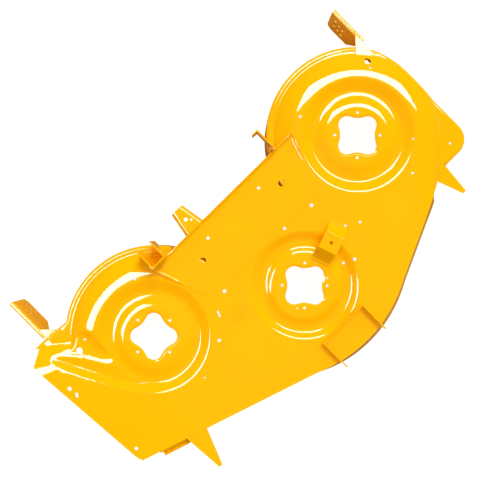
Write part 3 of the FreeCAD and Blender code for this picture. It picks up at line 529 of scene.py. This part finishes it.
def new_object(name, points, polygons):
    """A smooth-shaded object from points in millimetres, without loose points."""
    mesh = bpy.data.meshes.new(name)
    mesh.from_pydata([(x * MM, y * MM, z * MM) for x, y, z in points], [], polygons)
    bm = bmesh.new()
    bm.from_mesh(mesh)
    loose = [v for v in bm.verts if not v.link_faces]
    bmesh.ops.delete(bm, geom=loose, context="VERTS")
    bm.to_mesh(mesh)
    bm.free()
    for polygon in mesh.polygons:
        polygon.use_smooth = True
    obj = bpy.data.objects.new(name, mesh)
    bpy.context.scene.collection.objects.link(obj)
    return obj


def paint():
    """Glossy golden powder coat: an even colour, a slight orange peel and a clear gloss."""
    material = bpy.data.materials.new("yellow_paint_coat")
    material.use_nodes = True
    tree = material.node_tree
    shader = tree.nodes["Principled BSDF"]
    shader.inputs["Roughness"].default_value = 0.3
    shader.inputs["Specular IOR Level"].default_value = 0.0
    shader.inputs["Coat Weight"].default_value = 1.0
    shader.inputs["Coat Roughness"].default_value = 0.05
    shader.inputs["Coat IOR"].default_value = 1.9
    place = tree.nodes.new("ShaderNodeTexCoord")
    broad = tree.nodes.new("ShaderNodeTexNoise")
    broad.inputs["Scale"].default_value = 7.0
    broad.inputs["Detail"].default_value = 3.0
    ramp = tree.nodes.new("ShaderNodeValToRGB")
    ramp.color_ramp.elements[0].position = 0.3
    ramp.color_ramp.elements[0].color = (0.97, 0.43, 0.0, 1)
    ramp.color_ramp.elements[1].position = 0.7
    ramp.color_ramp.elements[1].color = (0.99, 0.445, 0.0, 1)
    peel = tree.nodes.new("ShaderNodeTexNoise")
    peel.inputs["Scale"].default_value = 420.0
    peel.inputs["Detail"].default_value = 2.0
    bump = tree.nodes.new("ShaderNodeBump")
    bump.inputs["Strength"].default_value = 0.12
    bump.inputs["Distance"].default_value = 0.0002
    links = tree.links
    links.new(place.outputs["Object"], broad.inputs["Vector"])
    links.new(place.outputs["Object"], peel.inputs["Vector"])
    links.new(broad.outputs["Fac"], ramp.inputs["Fac"])
    links.new(ramp.outputs["Color"], shader.inputs["Base Color"])
    links.new(peel.outputs["Fac"], bump.inputs["Height"])
    links.new(bump.outputs["Normal"], shader.inputs["Normal"])
    links.new(bump.outputs["Normal"], shader.inputs["Coat Normal"])
    return material


coat = paint()


def dress(obj, width, segments=2, degrees=40):
    """Soften a sheet's cut edges a little, so that they catch the light."""
    bevel = obj.modifiers.new("edge", "BEVEL")
    bevel.width = width * MM
    bevel.segments = segments
    bevel.limit_method = "ANGLE"
    bevel.angle_limit = math.radians(degrees)
    weighted = obj.modifiers.new("normals", "WEIGHTED_NORMAL")
    weighted.keep_sharp = False


def thicken(obj, node, thickness, offset):
    """Turn a surface into a painted sheet that stands in the place of the CAD's node."""
    obj.data.materials.append(coat)
    sheet = obj.modifiers.new("sheet", "SOLIDIFY")
    sheet.thickness = thickness * MM
    sheet.offset = offset
    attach(obj, "root")
    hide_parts(node)
    return sheet


def build_shell():
    """The stamped top with its walls, in the place of the CAD's plainer one."""
    shell = new_object("stamped_shell", *shell_mesh())
    sheet = thicken(shell, "deck_shell", SHEET, -1)
    sheet.use_even_offset = False
    sheet.thickness_clamp = 0
    dress(shell, 0.6, 1, 50)


def paint_cad_nodes():
    """Paint the CAD's own nodes, and soften the edges of the small brackets among them."""
    for name, node in frame["nodes"].items():
        if name in ("deck_shell", "rear_bridge_plate", "rear_taper_bracket") or "gauge_wheel" in name:
            continue
        node.data.materials.clear()
        node.data.materials.append(coat)
        if name in ("front_skirt", "front_baffle"):
            continue
        joined = node.modifiers.new("joined", "WELD")
        joined.merge_threshold = 0.02 * MM
        flat = node.modifiers.new("faces", "DECIMATE")
        flat.decimate_type = "DISSOLVE"
        flat.angle_limit = math.radians(0.5)
        dress(node, 1.2)


def sheet_face(loop, holes, place, inner=()):
    """A flat face with round holes, as points and triangles; place turns its two axes into a spot."""
    coords = [Vector(p) for p in loop]
    constraints = [(k, (k + 1) % len(loop)) for k in range(len(loop))]
    sides = 16
    for u, v, radius in holes:
        base = len(coords)
        coords += [Vector(p) for p in arc_of((u, v), radius, 0, 360, sides)]
        constraints += [(base + k, base + (k + 1) % sides) for k in range(sides)]
    coords += [Vector(p) for p in inner]
    verts, _, faces, _, _, _ = delaunay_2d_cdt(coords, constraints, [], 0, 1e-6, True)
    mid = [(sum(verts[k].x for k in f) / 3, sum(verts[k].y for k in f) / 3) for f in faces]
    keep = [inside_loop(np.array([x]), np.array([y]), loop)[0]
            and all(math.hypot(x - u, y - v) > radius * 0.97 for u, v, radius in holes)
            for x, y in mid]
    return [place(v.x, v.y) for v in verts], [f for f, ok in zip(faces, keep) if ok]


def strip(base, rows, wide):
    """The faces of a grid of points that starts at number base, in rows of wide points."""
    starts = [base + row * wide + n for row in range(rows - 1) for n in range(wide - 1)]
    return [(a, a + 1, a + wide + 1, a + wide) for a in starts]


def folded_sheet(node, points, polygons, thickness):
    """A bracket of one sheet, from the faces of its middle surface, in the place of the CAD's."""
    bracket = new_object(node + "_sheet", points, polygons)
    bm = bmesh.new()
    bm.from_mesh(bracket.data)
    bmesh.ops.remove_doubles(bm, verts=bm.verts, dist=0.05 * MM)
    bmesh.ops.recalc_face_normals(bm, faces=bm.faces)
    bm.to_mesh(bracket.data)
    bm.free()
    thicken(bracket, node, thickness, 0)
    dress(bracket, thickness * 0.3)


TAPER_THICK, TAPER_BEND_R, TAPER_HALF, TAPER_NARROWING = 3, 11, 32, 13.5
TAPER_HOLES = [(0, -378, 6), (-11, -367, 3.5)]


def taper_arm():
    """The arm behind the bridge plate, with two holes and its long sides rolled down."""
    node = "rear_taper_bracket"
    low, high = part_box(node)
    middle = (low.x + high.x) / 2 / MM
    top, bottom = high.z / MM - TAPER_THICK / 2, low.z / MM
    root, end = high.y / MM, low.y / MM
    parts = 12
    rows = [root + (end - root) * k / parts for k in range(parts + 1)]
    halves = [TAPER_HALF - TAPER_NARROWING * k / parts for k in range(parts + 1)]
    loop = [(middle - half + TAPER_BEND_R, y) for half, y in zip(halves, rows)]
    loop += [(middle + half - TAPER_BEND_R, y) for half, y in reversed(list(zip(halves, rows)))]
    holes = [(middle + x, y, radius) for x, y, radius in TAPER_HOLES]
    points, polygons = sheet_face(loop, holes, lambda x, y: (x, y, top))
    turns = [math.radians(a) for a in range(0, 91, 10)]
    profile = [(TAPER_BEND_R * math.sin(a), TAPER_BEND_R * math.cos(a) - TAPER_BEND_R) for a in turns]
    profile.append((TAPER_BEND_R + 1, bottom - top))
    for side in (-1, 1):
        base = len(points)
        for half, y in zip(halves, rows):
            points += [(middle + side * (half - TAPER_BEND_R + x), y, top + z) for x, z in profile]
        polygons += strip(base, parts + 1, len(profile))
    folded_sheet(node, points, polygons, TAPER_THICK)


GAUGE_THICK, GAUGE_BEND_R, GAUGE_INSET, GAUGE_BEND_DROP = 4, 6, 12, 8
GAUGE_ROOT_CUT, GAUGE_END_CUT = 40, 12
GAUGE_HOLE_R, GAUGE_HOLE_IN, GAUGE_HOLE_DOWN = 4.5, 22, 30
GAUGE_HOLE_STEP, GAUGE_HOLE_ROW, GAUGE_HOLE_FALL = 16, 34, 8
GAUGE_LIP_TIP = (1.1, -1.8)
# The foot's corners: the share of its reach, and steps outwards and along the plate.
GAUGE_FOOT = [(0, 0, -26), (1, 0, 22), (0, -54, 70), (0, 0, 42), (0, 4, 30), (0, 4, -22)]


def gauge_bracket(side, sign, length, reach):
    """A wheel bracket: a hanging plate with height holes, a rolled outer lip and a welded foot."""
    node = "gauge_wheel_bracket_" + side
    low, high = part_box(node)
    inner = high.x / MM - GAUGE_INSET if sign > 0 else low.x / MM + GAUGE_INSET
    end, top, bottom = low.y / MM, high.z / MM, low.z / MM
    root = end + length
    bend_z = top - GAUGE_BEND_DROP
    plate_x = inner + sign * GAUGE_THICK / 2
    loop = [(root, bend_z), (root, top - GAUGE_ROOT_CUT), (root - GAUGE_ROOT_CUT, bottom),
            (end + GAUGE_END_CUT, bottom), (end, bottom + GAUGE_END_CUT), (end, bend_z)]
    holes = [(end + GAUGE_HOLE_IN + GAUGE_HOLE_STEP * column,
              top - GAUGE_HOLE_DOWN - GAUGE_HOLE_ROW * row - GAUGE_HOLE_FALL * column, GAUGE_HOLE_R)
             for column in range(3) for row in range(2)]
    points, polygons = sheet_face(loop, holes, lambda y, z: (plate_x, y, z))
    turns = [math.radians(a) for a in range(0, 126, 12)]
    profile = [(GAUGE_BEND_R * (1 - math.cos(a)), GAUGE_BEND_R * math.sin(a)) for a in turns]
    profile.append((profile[-1][0] + GAUGE_LIP_TIP[0], profile[-1][1] + GAUGE_LIP_TIP[1]))
    parts = 12
    base = len(points)
    for y in [root + (end - root) * k / parts for k in range(parts + 1)]:
        points += [(plate_x + sign * x, y, bend_z + z) for x, z in profile]
    polygons += strip(base, parts + 1, len(profile))
    base = len(points)
    points += [(inner - sign * reach * share + sign * out, root + along, top - GAUGE_THICK / 2)
               for share, out, along in GAUGE_FOOT]
    polygons.append(tuple(range(base, base + len(GAUGE_FOOT))))
    folded_sheet(node, points, polygons, GAUGE_THICK)


# The bridge plate's rolled lips: the rear one's bend, the sides' bend and height, and where they end.
LIP_BEND_R, LIP_SIDE_R, LIP_SIDE_H, LIP_END_Y = 10, 6, 13 - SHEET, -243
LIP_ROWS = [0.25, 0.8, 1.7, 3, 4.5, 6.5, 8.5, 10.5]
LIP_STEP, LIP_SIDE_STEP, BRIDGE_STEP = 8.0, 6.0, 12.0
BRIDGE_FRONT_Y = -164.3
BRIDGE_HOLES = [(160, -258.6, 10), (-160, -258.6, 10), (103, -295, 5), (-103, -295, 5)]


def bridge_plate():
    """The rear sheet, with its edges rolled up into lips."""
    node = "rear_bridge_plate"
    top = MAIN_Z + SHEET
    rear, front = PLATE_REAR_Y, BRIDGE_FRONT_Y
    slope = (PLATE_REAR_X - PLATE_FRONT_X) / (front - rear)
    slant = math.hypot(1, slope)

    def edge_x(y):
        return PLATE_REAR_X - (y - rear) * slope

    def rolled(far, radius, limit):
        inward = np.clip(radius - far, 0, radius)
        return np.minimum(radius - np.sqrt(radius ** 2 - inward ** 2), limit)

    def rise(x, y):
        flank = (edge_x(y) - np.abs(x)) / slant
        share = np.clip((LIP_END_Y - y) / (LIP_END_Y - rear), 0, 1)
        return np.maximum(rolled(y - rear, LIP_BEND_R, LIP_BEND_R),
                          rolled(flank, LIP_SIDE_R, LIP_SIDE_H * share))

    corners = [(-edge_x(front), front), (-edge_x(rear), rear), (edge_x(rear), rear),
               (edge_x(front), front)]
    loop = []
    for start, end, step in zip(corners, corners[1:] + corners[:1], (6, 8, 6, 9)):
        loop += run_of([start, end], step)
    grid = []
    for d in LIP_ROWS:
        y = rear + d
        grid += [(x, y) for x in np.arange(-edge_x(y) + slant * d, edge_x(y) - slant * d, LIP_STEP)]
        for y in np.arange(rear + d + 3, front - 3, LIP_SIDE_STEP):
            grid += [(side * (edge_x(y) - slant * d), y) for side in (-1, 1)]
    for y in np.arange(rear + 18, front - 5, BRIDGE_STEP):
        grid += [(x, y) for x in np.arange(-edge_x(y) + 20, edge_x(y) - 20, BRIDGE_STEP)]
    grid = [p for p in grid if all(math.hypot(p[0] - x, p[1] - y) > r + 2 for x, y, r in BRIDGE_HOLES)]
    points, polygons = sheet_face(loop, BRIDGE_HOLES, lambda x, y: (x, y, 0), grid)
    z = top + rise(np.array([p[0] for p in points]), np.array([p[1] for p in points]))
    points = [(x, y, h) for (x, y, _), h in zip(points, z)]
    plate = new_object(node + "_sheet", points, polygons)
    thicken(plate, node, SHEET, -1)
    dress(plate, 0.5)


def build_floor():
    """A floor that is white to the camera and dull to the light, like a cut-out photograph's."""
    mesh = bpy.data.meshes.new("floor")
    reach = 12.0
    z = RIM_Z * MM
    mesh.from_pydata([(-reach, -reach, z), (reach, -reach, z), (reach, reach, z), (-reach, reach, z)],
                     [], [(0, 1, 2, 3)])
    floor = bpy.data.objects.new("floor", mesh)
    bpy.context.scene.collection.objects.link(floor)
    material = bpy.data.materials.new("floor_white")
    material.use_nodes = True
    tree = material.node_tree
    tree.nodes.clear()
    out = tree.nodes.new("ShaderNodeOutputMaterial")
    plain = tree.nodes.new("ShaderNodeBsdfDiffuse")
    plain.inputs["Color"].default_value = (0.3, 0.18, 0.07, 1)
    glow = tree.nodes.new("ShaderNodeEmission")
    glow.inputs["Color"].default_value = (0.96, 0.96, 0.96, 1)
    path = tree.nodes.new("ShaderNodeLightPath")
    both = tree.nodes.new("ShaderNodeAddShader")
    links = tree.links
    links.new(path.outputs["Is Camera Ray"], glow.inputs["Strength"])
    links.new(plain.outputs[0], both.inputs[0])
    links.new(glow.outputs[0], both.inputs[1])
    links.new(both.outputs[0], out.inputs["Surface"])
    mesh.materials.append(material)


def area_light(name, place, target, width, height, strength):
    """A soft box at place that faces target; strength is its radiance."""
    data = bpy.data.lights.new(name, "AREA")
    data.shape = "RECTANGLE"
    data.size = width
    data.size_y = height
    data.energy = strength * width * height * math.pi
    light = bpy.data.objects.new(name, data)
    light.location = place
    light.rotation_euler = (Vector(target) - Vector(place)).to_track_quat("-Z", "Y").to_euler()
    bpy.context.scene.collection.objects.link(light)
    return light


# Lamps, in metres. Two long boxes are what the gloss mirrors: name, place, width, depth, turn.
# The key, the fill and the four sides light the paint and stay out of its gloss.
BOXES = [("left_box", (-1.09, -0.57, 1.2), 1.35, 0.49, -44.6),
         ("right_box", (0.8, -0.81, 1.2), 1.02, 0.45, 5)]
BOX_RADIANCE = 8.8
MIDDLE = (0.0, -0.1, 0.0)
KEY_FROM, KEY_STRENGTH, KEY_ANGLE = (-0.58, -0.275, 0.77), 2.3, 25
FILL_HIGH, FILL_WIDE, FILL_RADIANCE = 3.2, 3.0, 2.6
SIDE_FAR, SIDE_HIGH, SIDE_WIDE, SIDE_DEEP, SIDE_RADIANCE = 2.2, 0.6, 2.4, 0.7, 2.4


def build_light():
    """A dim world that is white to the camera, and the lamps."""
    world = bpy.data.worlds.new("studio")
    bpy.context.scene.world = world
    world.use_nodes = True
    tree = world.node_tree
    tree.nodes.clear()
    out = tree.nodes.new("ShaderNodeOutputWorld")
    dim = tree.nodes.new("ShaderNodeBackground")
    dim.inputs["Color"].default_value = (1, 1, 1, 1)
    dim.inputs["Strength"].default_value = 0.02
    bright = tree.nodes.new("ShaderNodeBackground")
    bright.inputs["Color"].default_value = (1, 1, 1, 1)
    bright.inputs["Strength"].default_value = 1.0
    path = tree.nodes.new("ShaderNodeLightPath")
    mix = tree.nodes.new("ShaderNodeMixShader")
    tree.links.new(path.outputs["Is Camera Ray"], mix.inputs[0])
    tree.links.new(dim.outputs[0], mix.inputs[1])
    tree.links.new(bright.outputs[0], mix.inputs[2])
    tree.links.new(mix.outputs[0], out.inputs["Surface"])
    for name, place, width, depth, degrees in BOXES:
        box = area_light(name, place, (place[0], place[1], 0.0), width, depth, BOX_RADIANCE)
        box.rotation_euler = (0, 0, math.radians(degrees))
        box.visible_diffuse = False
    key = bpy.data.objects.new("key", bpy.data.lights.new("key", "SUN"))
    key.data.energy = KEY_STRENGTH
    key.data.angle = math.radians(KEY_ANGLE)
    key.rotation_euler = Vector(KEY_FROM).to_track_quat("Z", "Y").to_euler()
    bpy.context.scene.collection.objects.link(key)
    above = (MIDDLE[0], MIDDLE[1], FILL_HIGH)
    soft = [area_light("fill", above, MIDDLE, FILL_WIDE, FILL_WIDE, FILL_RADIANCE)]
    for number in range(4):
        spot = polar(MIDDLE, SIDE_FAR, 45 + 90 * number) + (SIDE_HIGH,)
        soft.append(area_light("side_%d" % number, spot, MIDDLE, SIDE_WIDE, SIDE_DEEP, SIDE_RADIANCE))
    for lamp in [key] + soft:
        lamp.visible_glossy = False


# The camera's place, its picture's directions on the deck, and the width in view at the deck's top.
CAMERA_X, CAMERA_Y, CAMERA_HIGH = 41, -226, 1700
PICTURE_RIGHT, PICTURE_UP = (-0.7117, 0.7023, 0), (-0.7023, -0.7117, 0)
PICTURE_WIDTH = 1394
SENSOR_WIDTH = 36


def build_camera():
    """Straight above the deck, with the photograph's turn and perspective."""
    data = bpy.data.cameras.new("camera")
    camera = bpy.data.objects.new("camera", data)
    bpy.context.scene.collection.objects.link(camera)
    right = Vector(PICTURE_RIGHT).normalized()
    up = Vector(PICTURE_UP).normalized()
    turn = Matrix((right, up, right.cross(up))).transposed().to_4x4()
    place = Vector((CAMERA_X, CAMERA_Y, CAMERA_HIGH)) * MM
    camera.matrix_world = Matrix.Translation(place) @ turn
    data.sensor_width = SENSOR_WIDTH
    data.lens = SENSOR_WIDTH * CAMERA_HIGH / PICTURE_WIDTH
    data.clip_end = 50
    bpy.context.scene.camera = camera


build_shell()
paint_cad_nodes()
taper_arm()
gauge_bracket("right", 1, 140, 48)
gauge_bracket("left", -1, 124, 44)
bridge_plate()
build_floor()
build_light()
build_camera()
bpy.context.scene.view_settings.view_transform = "Standard"
